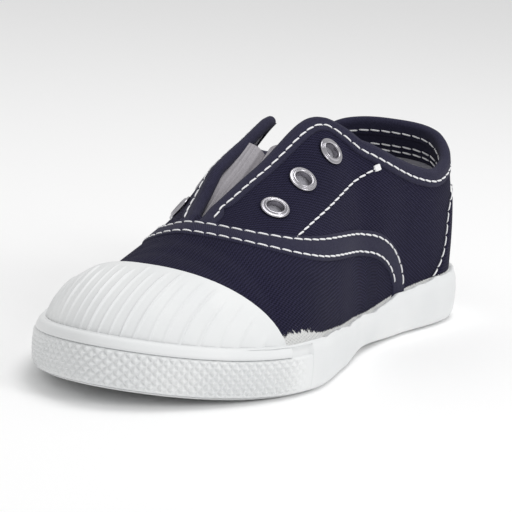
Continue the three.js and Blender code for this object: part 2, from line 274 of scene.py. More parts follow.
def clothNormal(u, v):
    step = 1e-4
    ahead = cloth(np.clip(u + step, 0, 1), v) - cloth(np.clip(u - step, 0, 1), v)
    over = cloth(u, np.clip(v + step, 0, 1)) - cloth(u, np.clip(v - step, 0, 1))
    n = np.cross(ahead, over)
    n = n / np.maximum(np.linalg.norm(n, axis=-1, keepdims=True), 1e-12)
    middle = np.array([last["spine"], 0, 15])
    outward = (n * (cloth(u, v) - middle)).sum(-1, keepdims=True)
    return np.where(outward < 0, -n, n)


def clothFrame(u, v):
    return cloth(u, v), clothNormal(u, v)


def edgeRound(u, side, ahead=False):  # where the throat or collar cuts each station
    # ahead carries the throat's edge on in front of its slit
    place = np.linspace(0.004, 0.5, 420)
    p = upperPoint(u[:, None], (place if side > 0 else 1 - place)[None, :])
    x, y, z = side * (p[..., 0] - throat["centre"]), p[..., 1], p[..., 2]
    closed = (y > throat["y"][-1]) | ((y < throat["y"][0]) & (not ahead))
    half = np.where(closed, -farAway, slitHalf(y, side))
    top = curve(collar["y"], collar["medial" if side > 0 else "lateral"], y)
    room = np.minimum(x - half, np.where(y < collar["y"][0], farAway, top) - z)
    found = np.full(len(u), 0.5)
    for i in np.nonzero((room < 0).any(axis=1))[0]:
        k = max(np.argmax(room[i] < 0), 1)
        share = room[i, k - 1] / (room[i, k - 1] - room[i, k])
        found[i] = place[k - 1] + share * (place[k] - place[k - 1])
    return found if side > 0 else 1 - found


def evenly(points, count):  # the same curve with its points spaced evenly
    run = runAlong(points)
    at = np.linspace(0, run[-1], count)
    return np.stack([np.interp(at, run, column) for column in points.T], 1)


def stationGrid(u, side, count):  # rows of (station, round) from the feather edge up to the cut edge
    top = edgeRound(u, side)
    foot = 0 if side > 0 else 1
    share = np.linspace(0, 1, 160) ** 1.6
    grid = np.zeros((len(u), count, 2))
    for i in range(len(u)):
        v = foot + (top[i] - foot) * share
        run = runAlong(cloth(np.full(len(v), u[i]), v))
        grid[i, :, 0] = u[i]
        grid[i, :, 1] = np.interp(np.linspace(0, run[-1], count), run, v)
    return grid


def gridFaces(rows, columns, start=0):
    i, j = np.meshgrid(np.arange(rows - 1), np.arange(columns - 1), indexing="ij")
    a = start + i * columns + j
    return np.stack([a, a + columns, a + columns + 1, a + 1], -1).reshape(-1, 4)


def addObject(name, data):
    made = bpy.data.objects.new(name, data)
    bpy.context.scene.collection.objects.link(made)
    return made


def finishPiece(name, mesh, material, replaces, sharp):
    mesh.shade_smooth()
    mesh.set_sharp_from_angle(angle=math.radians(sharp))
    piece = addObject(name, mesh)
    mesh.materials.append(material)
    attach(piece, "root")
    if replaces:
        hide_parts(*replaces)
    return piece


def makeMesh(name, points, faces, maps=None):
    mesh = bpy.data.meshes.new(name)
    vertices = (np.asarray(points).reshape(-1, 3) * mm).tolist()
    mesh.from_pydata(vertices, [], [list(map(int, f)) for f in faces])
    corner = np.zeros(len(mesh.loops), np.int32)
    mesh.loops.foreach_get("vertex_index", corner)
    for mapName, uv in (maps or {}).items():
        layer = mesh.uv_layers.new(name=mapName)
        layer.data.foreach_set("uv", np.asarray(uv, float).reshape(-1, 2)[corner].ravel())
    return mesh


def openMesh(mesh, weld=0, least=0):  # its bmesh, welded if asked, with every face turned outward
    work = bmesh.new()
    work.from_mesh(mesh)
    if weld:
        bmesh.ops.remove_doubles(work, verts=work.verts, dist=weld)
        bmesh.ops.dissolve_degenerate(work, dist=least, edges=work.edges)
    bmesh.ops.recalc_face_normals(work, faces=work.faces)
    return work


def closeMesh(work, mesh):
    work.to_mesh(mesh)
    work.free()


def makePiece(name, points, faces, material, maps=None, replaces=(), sharp=60):
    mesh = makeMesh(name, points, faces, maps)
    closeMesh(openMesh(mesh, weld=2e-6, least=1e-7), mesh)
    finishPiece(name, mesh, material, replaces, sharp)


def makeSheet(name, panels, material, replaces=(), sharp=60):
    # panels: (outside grid, inside grid, maps), welded where the outsides meet, then backed and rimmed
    fronts, backs, faces, maps, start = [], [], [], {}, 0
    for outside, inside, panelMaps in panels:
        rows, columns = outside.shape[:2]
        fronts.append(outside.reshape(-1, 3))
        backs.append(inside.reshape(-1, 3) * mm)
        faces.append(gridFaces(rows, columns, start))
        for key, uv in panelMaps.items():
            maps.setdefault(key, []).append(np.asarray(uv, float).reshape(-1, 2))
        start += rows * columns
    maps = {key: np.concatenate(parts) for key, parts in maps.items()}
    mesh = makeMesh(name, np.concatenate(fronts), np.concatenate(faces), maps)
    backLayer = mesh.attributes.new("back", "FLOAT_VECTOR", "POINT")
    backLayer.data.foreach_set("vector", np.concatenate(backs).astype(np.float32).ravel())
    work = openMesh(mesh, weld=5e-6, least=1e-6)
    back = work.verts.layers.float_vector["back"]
    layers = [work.loops.layers.uv[key] for key in maps]
    rim = [(e, e.link_faces[0]) for e in work.edges if e.is_boundary]
    originals = list(work.verts)
    copied = bmesh.ops.duplicate(work, geom=work.verts[:] + work.edges[:] + work.faces[:])
    twin = copied["vert_map"]
    for vert in originals:
        twin[vert].co = vert[back]
    bmesh.ops.reverse_faces(work, faces=[f for f in copied["geom"] if isinstance(f, bmesh.types.BMFace)])
    for edge, face in rim:
        a, b = edge.verts
        corner = {loop.vert: loop for loop in face.loops}
        made = work.faces.new([b, a, twin[a], twin[b]])
        for loop, source in zip(made.loops, (b, a, a, b)):
            for layer in layers:
                loop[layer].uv = corner[source][layer].uv
    bmesh.ops.recalc_face_normals(work, faces=work.faces)
    closeMesh(work, mesh)
    mesh.attributes.remove(mesh.attributes["back"])
    return finishPiece(name, mesh, material, replaces, sharp)


class Field:  # a socket that can be used in plain arithmetic
    def __init__(self, shader, socket):
        self.shader, self.socket = shader, socket

    def math(self, operation, *others):
        return self.shader.node("ShaderNodeMath", {"operation": operation}, [self, *others])

    def __add__(self, other):
        return self.math("ADD", other)

    def __sub__(self, other):
        return self.math("SUBTRACT", other)

    def __mul__(self, other):
        return self.math("MULTIPLY", other)

    def __truediv__(self, other):
        return self.math("DIVIDE", other)

    def __rsub__(self, other):
        return self * -1 + other

    __radd__, __rmul__ = __add__, __mul__

    def wave(self, pitch):  # between 0 and 1, once a pitch
        return (self * (2 * math.pi / pitch)).math("SINE") * 0.5 + 0.5

    def abs(self):
        return self.math("ABSOLUTE")

    def most(self, other):
        return self.math("MAXIMUM", other)

    def between(self, low, high):  # 0 below low, 1 above high, eased
        settings = {"interpolation_type": "SMOOTHSTEP"}
        return self.shader.node("ShaderNodeMapRange", settings, {0: self, 1: low, 2: high})


class Shader:
    def __init__(self, name, **fixed):
        self.material = bpy.data.materials.new(name)
        self.material.use_nodes = True
        self.tree = self.material.node_tree
        self.surface = self.tree.nodes["Principled BSDF"]
        for socket, value in fixed.items():
            self.surface.inputs[socket.replace("_", " ")].default_value = value

    def put(self, socket, value):
        if isinstance(value, Field):
            self.tree.links.new(value.socket, socket)
        else:
            socket.default_value = value

    def node(self, kind, settings=None, values=None, out=0):
        made = self.tree.nodes.new(kind)
        for key, value in (settings or {}).items():
            setattr(made, key, value)
        for key, value in values.items() if isinstance(values, dict) else enumerate(values or []):
            self.put(made.inputs[key], value)
        return Field(self, made.outputs[out])

    def place(self, mapName):  # a map's two coordinates, in millimetres
        at = self.node("ShaderNodeUVMap", {"uv_map": mapName})
        split = self.node("ShaderNodeSeparateXYZ", None, [at])
        return split, Field(self, split.socket.node.outputs[1])

    def solid(self):  # object coordinates, in millimetres
        at = self.node("ShaderNodeTexCoord", out=3)
        return self.node("ShaderNodeVectorMath", {"operation": "SCALE"}, {0: at, "Scale": 1 / mm})

    def noise(self, at, scale, detail=2, rough=0.5):
        values = {"Vector": at, "Scale": scale, "Detail": detail, "Roughness": rough}
        return self.node("ShaderNodeTexNoise", None, values)

    def mix(self, share, a, b):
        return self.node("ShaderNodeMix", {"data_type": "RGBA"}, {0: share, 6: a, 7: b}, out=2)

    def finish(self, colour, roughness=None, height=None, relief=None):
        self.put(self.surface.inputs["Base Color"], colour)
        if roughness is not None:
            self.put(self.surface.inputs["Roughness"], roughness)
        if height is not None:
            values = {"Height": height, "Distance": relief, "Strength": 1.0}
            self.put(self.surface.inputs["Normal"], self.node("ShaderNodeBump", None, values))
        return self.material


def paint(red, green, blue):  # from 0-255 screen values
    linear = [((c / 255 + 0.055) / 1.055) ** 2.4 if c > 10 else c / 255 / 12.92 for c in (red, green, blue)]
    return (*linear, 1)


# Corded cotton duck: thick cords one way, finer threads across
duck = {
    "cord": 0.84, "pick": 0.7, "wander": 0.5,
    "dark": paint(13, 12, 28), "light": paint(50, 48, 74), "flash": paint(222, 222, 221),
    # the rough white foot of the cloth, taller round one place along the shoe
    "flashAt": 38, "flashLong": 13, "flashLow": 1.3, "flashTall": 2.9,
}


def makeDuck():
    s = Shader("navyDuck", Roughness=0.95, Sheen_Weight=0.03, Sheen_Roughness=0.5, Specular_IOR_Level=0.08)
    along, across = s.place("weave")
    where = s.solid()
    wander = (s.noise(where, 0.35) - 0.5) * duck["wander"]
    cords, picks = (along + wander).wave(duck["cord"]), (across + wander).wave(duck["pick"])
    slub = s.noise(where, 1.7, 3, 0.65)
    checks = 0.5 + (cords - 0.5) * (picks - 0.5) * 2
    weave = cords * 0.42 + checks * 0.58
    tone = weave * 0.8 + slub * 0.5 - 0.2
    navy = s.mix(tone.between(0, 1), duck["dark"], duck["light"])
    shade = s.noise(where, 0.05, 1).between(0.3, 0.7)
    navy = s.mix(shade * 0.16, navy, duck["dark"])
    y, above = s.place("edge")
    ragged = s.noise(where, 0.9, 4, 0.7)
    streak = s.noise(s.node("ShaderNodeCombineXYZ", None, [y * 1.5, above * 0.35]), 1.0, 4, 0.7)
    tall = 1 - ((y + duck["flashAt"]) / duck["flashLong"]).abs().between(0.2, 1)
    reach = streak * (duck["flashLow"] + tall * duck["flashTall"]) + ragged * 0.9 - 1.05
    flash = (reach - above).between(-0.15, 0.15)
    crumbs = s.noise(where, 1.3, 4, 0.8) + tall * 0.2 - (above / 4.5).most(0) * 0.24
    white = flash.most(crumbs.between(0.68, 0.72) * tall)
    colour = s.mix(white, navy, duck["flash"])
    return s.finish(colour, height=weave + slub * 0.35 + white * 0.8, relief=0.00022)


# Smooth cotton tape, woven fine
tape = {"rib": 0.5, "dark": paint(27, 26, 42), "light": paint(56, 55, 77)}


def makeTape(name="navyTape", paintedShadeDim=1.0):
    s = Shader(name, Roughness=0.9, Sheen_Weight=0.05, Sheen_Roughness=0.5, Specular_IOR_Level=0.12)
    along, across = s.place("weave")
    ribs = (along + across * 0.45).wave(tape["rib"])
    fluff = s.noise(s.solid(), 2.2, 3, 0.65)
    # a factor below 1 darkens the tape's light end as painted shade
    light = tuple(c * paintedShadeDim for c in tape["light"][:3]) + (1,)
    colour = s.mix((ribs * 0.3 + fluff * 0.75).between(0.1, 0.95), tape["dark"], light)
    return s.finish(colour, height=ribs * 0.5 + fluff * 0.5, relief=0.0001)


def makeThread():
    s = Shader("whiteThread", Roughness=0.8, Specular_IOR_Level=0.2)
    along, around = s.place("weave")
    twist = (along + around).wave(0.55)
    colour = s.mix(twist, paint(232, 232, 236), paint(255, 255, 255))
    return s.finish(colour, height=twist, relief=0.00006)


# Moulded white rubber, with a faint bloom and fine grain
rubber = {"white": paint(233, 234, 234), "grey": paint(220, 222, 223), "rough": 0.42}


def makeRubber():
    s = Shader("whiteRubber", Specular_IOR_Level=0.4)
    where = s.solid()
    bloom = s.noise(where, 0.045).between(0.35, 0.7)
    grain = s.noise(where, 3.5, 3, 0.6)
    colour = s.mix(bloom * 0.5 + grain * 0.2, rubber["white"], rubber["grey"])
    return s.finish(colour, grain * 0.12 + bloom * 0.08 + rubber["rough"], grain, 0.00003)


def makeNickel():
    s = Shader("nickelPlate", Metallic=1.0)
    tarnish = s.noise(s.solid(), 0.12)
    # both greys are darker than bare nickel as painted reflection of dark surroundings; the noise mixes them
    # at random
    colour = s.mix(tarnish.between(0.35, 0.65), paint(162, 160, 166), paint(186, 184, 189))
    return s.finish(colour, roughness=tarnish * 0.1 + 0.16)


def makeLining():
    s = Shader("greyLining", Roughness=0.95, Sheen_Weight=0.05, Specular_IOR_Level=0.1)
    along, across = s.place("weave")
    checks = along.wave(0.5) * across.wave(0.5)
    fluff = s.noise(s.solid(), 1.2, 3, 0.6)
    colour = s.mix(checks * 0.35 + fluff * 0.6, paint(150, 149, 156), paint(186, 185, 192))
    return s.finish(colour, height=checks + fluff * 0.5, relief=0.0001)


def makeElastic():
    s = Shader("greyElastic", Roughness=0.92, Sheen_Weight=0.05, Specular_IOR_Level=0.12)
    ribs = s.place("weave")[1].wave(0.8)
    fluff = s.noise(s.solid(), 1.6, 3, 0.6)
    colour = s.mix(ribs * 0.2 + fluff * 0.8, paint(146, 142, 146), paint(184, 181, 186))
    return s.finish(colour, height=ribs + fluff * 0.3, relief=0.00018)


duckMat, tapeMat, threadMat = makeDuck(), makeTape(), makeThread()
# a dimmed copy of the tape: painted shade for the facing inside the collar
tapePaintedShadeMat = makeTape("navyTapePaintedShade", 0.7)
rubberMat, nickelMat = makeRubber(), makeNickel()
liningMat, elasticMat = makeLining(), makeElastic()
print("materials made")


def smooth(values, rounds):  # running mean that keeps both ends
    for _ in range(rounds):
        mean = (values[:-2] + 2 * values[1:-1] + values[2:]) / 4
        values = np.concatenate([values[:1], mean, values[-1:]])
    return values


def unit(vectors):
    return vectors / np.maximum(np.linalg.norm(vectors, axis=-1, keepdims=True), 1e-9)


class Track:  # a line laid on the cloth, known by its stations and rounds
    def __init__(self, u, v, spacing=0.6):
        points = cloth(u, v)
        count = max(int(runAlong(points)[-1] / spacing), 8)
        even = evenly(np.concatenate([points, u[:, None], v[:, None]], 1), count)
        self.u, self.v = even[:, 3], even[:, 4]
        self.points = cloth(self.u, self.v)
        self.run = runAlong(self.points)

    def beside(self, distance):  # stations and rounds of the line moved sideways over the cloth
        u, v, e = self.u.copy(), self.v.copy(), 1e-4
        distance = np.broadcast_to(np.asarray(distance, float), u.shape)
        steps = max(int(np.ceil(np.abs(distance).max() / 0.8)), 1)
        for _ in range(steps):
            here, normal = clothFrame(u, v)
            move = unit(np.cross(normal, unit(np.gradient(here, axis=0)))) * (distance / steps)[:, None]
            du = (cloth(u + e, v) - cloth(u - e, v)) / (2 * e)
            dv = (cloth(u, v + e) - cloth(u, v - e)) / (2 * e)
            a, b, c = (du * du).sum(1) + 1, (du * dv).sum(1), (dv * dv).sum(1) + 1
            f, g = (du * move).sum(1), (dv * move).sum(1)
            det = a * c - b * b
            u = np.clip(u + (c * f - b * g) / det, 0.001, 1.0)
            v = np.clip(v + (a * g - b * f) / det, 0.0005, 0.9995)
        return u, v


def trackThrough(rows):  # rows of (along, round)
    along, v = np.array(rows, float).T
    u = stepAt(along)
    run = runAlong(cloth(u, v))
    fine = np.linspace(0, run[-1], 400)
    return Track(smooth(curve(run, u, fine), 12), smooth(curve(run, v, fine), 12))


def liftedLine(u, v, lift):
    points, normals = clothFrame(u, v)
    return points + normals * lift, normals


def softly(u, v):  # takes kinks out of a line moved over the cloth
    return smooth(u, 12), smooth(v, 12)


# Sewing thread: one mesh of short threads, each bowed and tucked in at its ends
thread = {"pitch": 3.3, "gap": 0.3, "size": 0.22, "around": 8, "along": 9}


def threadStitches(lines):  # lines: (points, normals)
    size, ring, rings = thread["size"], thread["around"], thread["along"]
    angle = np.linspace(0, 2 * np.pi, ring, endpoint=False)
    place = np.linspace(-1, 1, rings)
    thick = (size * np.maximum(1 - np.abs(place) ** 5, 0.1) ** 0.5)[:, None, None]
    cos, sin = np.cos(angle)[:, None] * thick, np.sin(angle)[:, None] * thick
    bow = size * (0.75 - 1.2 * np.abs(place) ** 6)
    allPoints, allFaces, allMaps, start = [], [], [], 0
    for points, normals in lines:
        run = runAlong(points)
        count = max(int(round(run[-1] / thread["pitch"])), 1)
        step = run[-1] / count
        for k in range(count):
            s = np.linspace(k * step + thread["gap"] / 2, (k + 1) * step - thread["gap"] / 2, rings)
            centre = np.stack([np.interp(s, run, points[:, i]) for i in range(3)], 1)
            n = unit(np.stack([np.interp(s, run, normals[:, i]) for i in range(3)], 1))
            side = unit(np.cross(np.gradient(centre, axis=0), n))
            centre = centre + side * (place * 0.1)[:, None] + n * bow[:, None]
            circle = centre[:, None] + side[:, None] * cos * 1.15 + n[:, None] * sin * 0.85
            allPoints.append(circle.reshape(-1, 3))
            allMaps.append(together(s[:, None], angle * size).reshape(-1, 2))
            base = start + np.arange(rings - 1)[:, None] * ring
            a, b = base + np.arange(ring), base + (np.arange(ring) + 1) % ring
            allFaces.extend(np.stack([a, b, b + ring, a + ring], -1).reshape(-1, 4).tolist())
            allFaces.append([start + c for c in range(ring)][::-1])
            allFaces.append([start + (rings - 1) * ring + c for c in range(ring)])
            start += rings * ring
    return np.concatenate(allPoints), allFaces, {"weave": np.concatenate(allMaps)}


# Vamp band: a tape over the joint of vamp and quarter, from the sole over the instep to the other side
vampBand = {
    "half": 3.4, "thick": 0.5, "stitchInset": 1.15,
    # middle line: y and height up the medial side, then y and distance from the throat's middle
    "side": [(38, 9), (39, 12), (38, 16), (34.5, 21), (28, 25), (20, 27.5), (12, 28.5), (0, 29.5),
             (-13, 30.5), (-23, 32)],
    "over": [(-30.5, 15), (-33, 8), (-34, 0)],
    "lateralLead": 2,  # the lateral side runs this much further forward
}


def bandRows():
    side = np.array(vampBand["side"], float)
    run = runAlong(side)
    fine = np.linspace(0, run[-1], 40)
    u, z = stepAtY(curve(run, side[:, 0], fine)), curve(run, side[:, 1], fine)
    yOver, xOver = np.array(vampBand["over"]).T
    uOver = stepAtY(yOver)
    v = np.concatenate([roundAtHeight(u, z, 1), roundAt(uOver, throat["centre"] + xOver)])
    rows = list(zip(alongAt(np.concatenate([u, uOver])), v))
    lead = vampBand["lateralLead"] / last["length"]
    return rows + [(along - lead * bump(around, 0.44, 0.12), 1 - around) for along, around in rows[-3::-1]]


bandTrack = trackThrough(bandRows())


def isVamp(u, v):  # in front of the band's middle line
    t = alongAt(u)
    order = np.argsort(bandTrack.v)
    return t < np.interp(v, bandTrack.v[order], alongAt(bandTrack.u)[order])


# The canvas body: cloth outside and lining inside, from the feather edge to the cut edge
canvasBody = {"canvas": 0.95, "liningTop": 1.05, "liningUnder": 2.0, "rows": 230, "columns": 80,
              "liningRows": 130, "liningColumns": 50, "quarterTurn": 33}


def clothMaps(u, v, points):
    y, z = points[..., 1], points[..., 2]
    t = alongAt(u)
    over = runAlong(points)
    fromCrown = np.abs(over - over[:, -1:])
    turn = math.radians(canvasBody["quarterTurn"])
    front = isVamp(u, v)
    cords = np.where(front, fromCrown, y * math.sin(turn) + over * math.cos(turn))
    picks = np.where(front, y, y * math.cos(turn) - over * math.sin(turn))
    return {"weave": together(cords, picks), "edge": together(y, z - soleBottom(t) - station("wall", t))}


def bodyPanels(rows, columns, outer, inner):
    u = np.linspace(0, 1, rows)
    u[0] = 0.002
    panels = []
    for side in (1, -1):
        grid = stationGrid(u, side, columns)
        gu, gv = grid[..., 0], grid[..., 1]
        points, normal = clothFrame(gu, gv)
        panels.append((points - normal * outer, points - normal * inner, clothMaps(gu, gv, points)))
    return panels


eyelets = {
    # place along the shoe, and distance to each side of the throat's middle
    "y": [-16.5, -2.5, 12],
    "medial": [14, 14, 14],
    "lateral": [12.5, 14, 15.5],
    "drill": 2.45, "spin": 96,
    "peepHole": 0.85,
    # radius and height off the cloth: the flange and barrel outside, then the washer inside
    "profiles": [[(2.35, -1.0), (2.4, 0.08), (3.5, 0.1), (3.72, 0.2), (3.78, 0.38), (3.72, 0.56),
                  (3.55, 0.68), (3.3, 0.7), (3.08, 0.66), (2.97, 0.7), (2.9, 0.84), (2.78, 0.98),
                  (2.62, 1.05), (2.44, 1.0),
                  (2.3, 0.88), (2.2, 0.66), (2.16, 0.3), (2.15, -0.4), (2.2, -1.0)],
                 [(1.6, -2.08), (1.7, -2.3), (2.4, -2.45), (3.1, -2.4), (3.3, -2.25), (3.3, -2.08)]],
}


def eyeletPlaces():
    places = []
    for side, name in ((1, "medial"), (-1, "lateral")):
        u = stepAtY(eyelets["y"])
        v = roundAt(u, throat["centre"] + side * np.array(eyelets[name]))
        places.extend(zip(*clothFrame(u, v)))
    return places


def frameFor(normal):
    first = unit(np.cross(normal, [0, 1, 0]))
    return first, np.cross(normal, first)


def buildEyelets():
    spin = eyelets["spin"]
    angle = np.linspace(0, 2 * np.pi, spin, endpoint=False)
    points, faces, start = [], [], 0
    for centre, normal in eyeletPlaces():
        first, second = frameFor(normal)
        rim = np.cos(angle)[:, None] * first + np.sin(angle)[:, None] * second
        for profile in eyelets["profiles"]:
            profile = np.array(profile)
            turned = centre + profile[:, None, :1] * rim + profile[:, None, 1:] * normal
            points.append(turned.reshape(-1, 3))
            for i in range(len(profile)):
                a = start + i * spin + np.arange(spin)
                b = start + ((i + 1) % len(profile)) * spin + np.arange(spin)
                faces += np.stack([a, np.roll(a, -1), np.roll(b, -1), b], -1).tolist()
            start += len(profile) * spin
    names = [f"eyelet_{side}_{i}" for side in ("medial", "lateral") for i in (1, 2, 3)]
    makePiece("eyelets", np.concatenate(points), faces, nickelMat, replaces=names, sharp=55)


def drillHoles(piece, places, radius):  # opens the cloth under these eyelets
    spin, reach = 32, 6
    angle = np.linspace(0, 2 * np.pi, spin, endpoint=False)
    points, faces = [], []
    for k, (centre, normal) in enumerate(places):
        first, second = frameFor(normal)
        rim = radius * (np.cos(angle)[:, None] * first + np.sin(angle)[:, None] * second)
        points += [centre + rim - normal * reach, centre + rim + normal * reach]
        a = 2 * k * spin + np.arange(spin)
        faces += np.stack([a, np.roll(a, -1), np.roll(a, -1) + spin, a + spin], -1).tolist()
        faces += [a[::-1].tolist(), (a + spin).tolist()]
    drillMesh = makeMesh("drills", np.concatenate(points), faces)
    closeMesh(openMesh(drillMesh), drillMesh)
    drills = addObject("drills", drillMesh)
    cut = piece.modifiers.new("holes", "BOOLEAN")
    cut.operation, cut.solver, cut.object = "DIFFERENCE", "EXACT", drills
    depsgraph = bpy.context.evaluated_depsgraph_get()
    made = bpy.data.meshes.new_from_object(piece.evaluated_get(depsgraph))
    piece.modifiers.clear()
    piece.data = made
    bpy.data.objects.remove(drills)


def buildBody():
    canvas = bodyPanels(canvasBody["rows"], canvasBody["columns"], 0, canvasBody["canvas"])
    shell = makeSheet("canvas", canvas, duckMat, replaces=["upper"])
    inner = bodyPanels(canvasBody["liningRows"], canvasBody["liningColumns"], canvasBody["liningTop"],
                       canvasBody["liningUnder"])
    lining = makeSheet("lining", inner, liningMat)
    drillHoles(shell, eyeletPlaces(), eyelets["drill"])
    drillHoles(lining, eyeletPlaces()[2::3], eyelets["peepHole"])


buildBody()
buildEyelets()
print("canvas, lining and eyelets made")


# Binding: tape folded over the throat and collar edges
binding = {
    "outside": 4.6, "insideCollar": 4.6, "insideThroat": 3.4, "wall": 2.05,
    "stitch": 3.0, "insideStitch": 3.0, "start": -32.5, "over": 0.5, "samples": 900,
    "foldThick": 0.5, "tape": 0.45,
    # the outside's rows: distance from the stitches and lift, then the row before the fold
    "groove": [(0.45, 0.5), (0.2, 0.4), (0, 0.34), (-0.2, 0.4), (-0.5, 0.5), (-1.1, 0.56), (-1.9, 0.58)],
    "beforeFold": (1.1, 0.56),
    "foldAngles": [15, 40, 65, 90, 115, 140, 165],
    "insideShares": [0.3, 0.45, 0.6, 0.8, 0.95, 1.0],
}


def edgeTrack(side):
    u = np.linspace(stepAt(0.5 + binding["start"] / last["length"]), 1, binding["samples"])
    v = edgeRound(u, side, ahead=True)
    return Track(u, smooth(v, 4), 0.5)


edges = {side: edgeTrack(side) for side in (1, -1)}


def edgeLine(side, distance):  # a line at a distance from the cut edge, down the cloth
    return softly(*edges[side].beside(-side * distance))


def buildBinding():
    panels = []
    outsideRows = [(binding["outside"], 0.12), (binding["outside"] - 0.2, 0.44)]
    outsideRows += [(binding["stitch"] + d, lift) for d, lift in binding["groove"]] + [binding["beforeFold"]]
    radius = binding["wall"] / 2 + binding["foldThick"]
    for side in (1, -1):
        track = edges[side]
        y, run = track.points[:, 1], track.run
        inside = binding["insideThroat"]
        inside = inside + (binding["insideCollar"] - inside) * ease(y, 18, 30)
        ragged = 0.6 * np.sin(run * 1.3) + 0.55 * np.sin(run * 3.1 + 1.3) + 0.4 * np.sin(run * 5.3)
        inside = inside + ragged * (1 - ease(y, 14, 26))
        outer, inner, across = [], [], []
        edge, normal = clothFrame(track.u, track.v)
        down = unit(cloth(*track.beside(-side * 0.8)) - edge)
        for s, lift in outsideRows:
            p, n = clothFrame(*edgeLine(side, s))
            outer.append(p + n * lift)
            inner.append(p - n * 0.1)
            across.append(-s)
        middle = edge - normal * binding["wall"] / 2 + down * (radius - binding["over"])
        for angle in np.radians(binding["foldAngles"]):
            direction = normal * math.cos(angle) - down * math.sin(angle)
            outer.append(middle + direction * radius)
            inner.append(middle + direction * (radius - binding["tape"]))
            across.append(math.radians(1) + angle * radius)
        for share in binding["insideShares"]:
            u, v = track.beside(-side * inside * share)
            p, n = clothFrame(*(softly(u, v) if share < 0.9 else (u, v)))
            outer.append(p - n * (binding["wall"] + (0.5 if share < 1 else 0.1)))
            inner.append(p - n * (binding["wall"] - 0.1))
            across.append(3.5 + 6 * share)
        weave = together(run[:, None], np.array(across))
        panels.append((np.stack(outer, 1), np.stack(inner, 1), {"weave": weave}))
    makeSheet("binding", panels, tapeMat, sharp=75)


buildBinding()
print("binding made")


def buildVampBand():
    half, thick = vampBand["half"], vampBand["thick"]
    edge = np.array([1, 0.97, 0.9, 0.7, 0.62, 0.54, 0.3, 0, 0.3, 0.54, 0.62, 0.7, 0.9, 0.97, 1])
    across = edge * half * np.sign(np.arange(len(edge)) - len(edge) // 2)
    lift = thick * (1 - edge ** 14 * 0.75) + 0.05 * (1 - edge ** 2)
    lift = lift - 0.16 * bump(edge * half, half - vampBand["stitchInset"], 0.5)
    lines = [softly(*bandTrack.beside(a)) for a in across]
    outside = np.stack([liftedLine(u, v, h)[0] for (u, v), h in zip(lines, lift)], 1)
    inside = np.stack([liftedLine(u, v, -0.15)[0] for u, v in lines], 1)
    weave = together(bandTrack.run[:, None], across)
    makeSheet("vamp_band", [(outside, inside, {"weave": weave})], tapeMat)


buildVampBand()
print("vamp band made")

# Heel patch: second layer of canvas round the heel, stitched along its front and top
heelPatch = {
    "thick": 0.45, "top": 35, "foot": 5.4, "corner": 6, "cornerShare": 0.4, "inset": 1.7,
    "front": [(5, 54.5), (9, 55), (12, 57.5), (16, 62), (21, 65), (36, 67.5)],  # height and y
}


def heelPatchLine(side):  # along the front edge, round the corner and to the heel's middle
    zRows, yRows = zip(*heelPatch["front"])
    a = np.linspace(0, 1, 60)
    cornerPlace = 1 - np.minimum(a / heelPatch["cornerShare"], 1)
    zTop = heelPatch["top"] - heelPatch["corner"] * (1 - np.sqrt(np.maximum(1 - cornerPlace ** 2, 0)))
    zFront = np.linspace(5.2, heelPatch["top"] - heelPatch["corner"], 50)
    uFront = stepAtY(curve(zRows, yRows, zFront))
    uTop = uFront[-1] + (1 - uFront[-1]) * a
    u, z = np.concatenate([uFront[:-1], uTop]), np.concatenate([zFront[:-1], zTop])
    return u, roundAtHeight(u, z, side)


def buildHeelPatch():  # a fan of rows from its edge to the foot of the heel's middle line
    panels = []
    rows = np.linspace(0, 1, 44)[None, :]
    for side in (1, -1):
        track = Track(*heelPatchLine(side))
        zLine = track.points[:, 2:]
        u = track.u[:, None] + (1 - track.u[:, None]) * rows
        v = roundAtHeight(u, zLine + (heelPatch["foot"] - zLine) * rows, side)
        (points, normal), t = clothFrame(u, v), alongAt(u)
        x, y, z = points[..., 0], points[..., 1], points[..., 2]
        lift = 0.08 + heelPatch["thick"] * ease(rows, -0.001, 0.012)
        maps = {"weave": together(z, x * 0.6 * side - y * 0.8),
                "edge": together(y, z - soleBottom(t) - station("wall", t))}
        panels.append((points + normal * lift[..., None], points - normal * 0.15, maps))
    makeSheet("heel_patch", panels, duckMat)


buildHeelPatch()
print("heel patch made")


# Collar facing: navy strip inside, under the binding, with a double row of stitches
facing = {"from": 4.0, "to": 10.2, "thick": 0.3, "rows": (7.0, 8.6), "fromY": 25}


def buildFacing():
    panels = []
    across = np.linspace(facing["from"], facing["to"], 12)
    for side in (1, -1):
        track = edges[side]
        keep = track.points[:, 1] > facing["fromY"]
        outer, inner = [], []
        for s in across:
            p, n = (part[keep] for part in clothFrame(*edgeLine(side, s)))
            outer.append(p - n * (binding["wall"] + (0.05 if s in across[[0, -1]] else facing["thick"])))
            inner.append(p - n * (binding["wall"] - 0.15))
        weave = together(track.run[keep][:, None], across)
        panels.append((np.stack(outer, 1), np.stack(inner, 1), {"weave": weave}))
    # the facing uses the tape copy with painted shade
    makeSheet("collar_facing", panels, tapePaintedShadeMat)


buildFacing()
print("collar facing made")

# Elastic gusset between the flaps, folded in the middle, with wings behind the first two eyelets
gusset = {
    "half": 7.4, "wing": 15.0, "wingShare": 0.6, "wingBack": 10, "wingDrop": 1.0,
    "front": -31.5, "rear": 7, "dip": 5, "depth": 2.4, "thick": 0.9,
    "fold": 2.6, "foldWidth": 1.1, "puff": 1.3, "puffAt": 3.4, "puffWidth": 2.2,
}


def overPlan(x, y, lift):  # the last's point over a spot of the plan, where the instep has no lean
    u = np.full(np.shape(x), 0.5) + 0 * y
    for _ in range(30):
        u = np.arccos(np.clip(-y / section(alongAt(u), lift)[3], -1, 1)) / np.pi
    return u, roundAt(u, x, lift)


